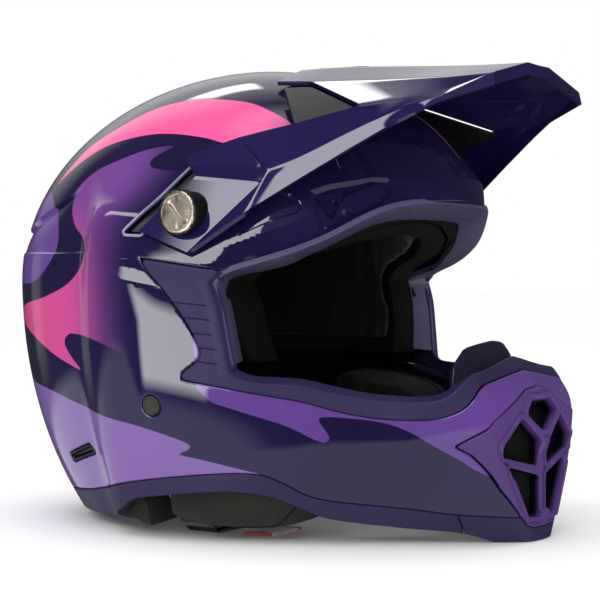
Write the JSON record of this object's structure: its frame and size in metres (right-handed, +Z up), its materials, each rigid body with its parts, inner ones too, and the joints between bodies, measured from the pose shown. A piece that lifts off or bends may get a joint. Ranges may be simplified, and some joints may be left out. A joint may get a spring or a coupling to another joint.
{
  "type": "motocross helmet",
  "caption": "Full-face off-road helmet with a long vented chin bar, a tilting peak on side screws, foam and fabric lining and a double-ring chin strap.",
  "frame": {"origin": "centre of the object's box, on the surface the helmet stands on", "axes": "+Z up, the wearer looks along -Y, the wearer's right side is -X"},
  "size_m": [0.2674, 0.3364, 0.2628],
  "materials": {
    "painted_shell": "gloss clear coat over navy, purple and pink paint",
    "peak_plastic": "gloss navy",
    "trim_rubber": "matte violet",
    "vent_plastic": "satin purple",
    "black_plastic": "matte black",
    "nose_rubber": "matte black",
    "foam": "beaded foam",
    "lining_fabric": "brushed and mesh fabric",
    "webbing": "woven nylon",
    "red_webbing": "woven nylon",
    "screw_metal": "satin",
    "ring_steel": "plated"
  },
  "bodies": {
    "helmet": {"outer_shell": "painted_shell", "mouth_vent": "vent_plastic", "mouth_filter": "black_plastic", "eyeport_trim": "trim_rubber", "nose_guard": "nose_rubber", "chin_trim": "trim_rubber", "base_trim_right": "trim_rubber", "base_trim_left": "trim_rubber", "outer_foam": "foam", "neck_roll": "lining_fabric", "crown_nut": "ring_steel", "ring_loop": "webbing", "slot_vent_right": "black_plastic", "rear_port_right": "black_plastic", "strap_anchor_right": "black_plastic", "chin_foam_right": "foam", "cheek_foam_right": "foam", "cheek_pad_right": "lining_fabric", "pivot_nut_right": "ring_steel", "chin_strap_right": "webbing", "release_tab_right": "red_webbing", "slot_vent_left": "black_plastic", "rear_port_left": "black_plastic", "strap_anchor_left": "black_plastic", "chin_foam_left": "foam", "cheek_foam_left": "foam", "cheek_pad_left": "lining_fabric", "pivot_nut_left": "ring_steel", "chin_strap_left": "webbing", "release_tab_left": "red_webbing"},
    "peak": {"peak": "peak_plastic", "pivot_washer_right": "black_plastic", "pivot_washer_left": "black_plastic"},
    "right_screw": {"pivot_screw_right": "screw_metal"},
    "left_screw": {"pivot_screw_left": "screw_metal"},
    "top_screw": {"crown_screw": "screw_metal"},
    "inner_liner": {"inner_foam": "foam", "comfort_liner": "lining_fabric"},
    "lower_ring": {"d_ring_lower": "ring_steel"},
    "upper_ring": {"d_ring_upper": "ring_steel"}
  },
  "joints": [
    {"name": "peak_tilt", "type": "hinge", "parent": "helmet", "child": "peak", "pos_m": [0, -0.0168, 0.1755], "axis": [-1, 0, 0], "range_deg": [-5, 5]},
    {"name": "right_screw_turn", "type": "hinge", "parent": "helmet", "child": "right_screw", "pos_m": [-0.12, -0.0168, 0.1755], "axis": [-1, 0, 0], "continuous": true},
    {"name": "left_screw_turn", "type": "hinge", "parent": "helmet", "child": "left_screw", "pos_m": [0.12, -0.0168, 0.1755], "axis": [1, 0, 0], "continuous": true},
    {"name": "top_screw_turn", "type": "hinge", "parent": "helmet", "child": "top_screw", "pos_m": [0, -0.046, 0.2536], "axis": [0, -0.3505, 0.9365], "continuous": true},
    {"name": "liner_slip", "type": "hinge", "parent": "helmet", "child": "inner_liner", "pos_m": [0, 0.012, 0.135], "axis": [0, 0, 1], "range_deg": [-4, 4], "stiffness_Nm_per_rad": 20},
    {"name": "upper_ring_swing", "type": "hinge", "parent": "helmet", "child": "upper_ring", "pos_m": [0.04436, 0.0035, 0.0072], "axis": [0, 1, 0], "range_deg": [0, 20]},
    {"name": "lower_ring_swing", "type": "hinge", "parent": "helmet", "child": "lower_ring", "pos_m": [0.04436, 0.0035, 0.0033], "axis": [0, 1, 0], "range_deg": [0, 20]}
  ],
  "couplings": [
    {"joint": "lower_ring_swing", "follows": "upper_ring_swing", "ratio": 1}
  ]
}
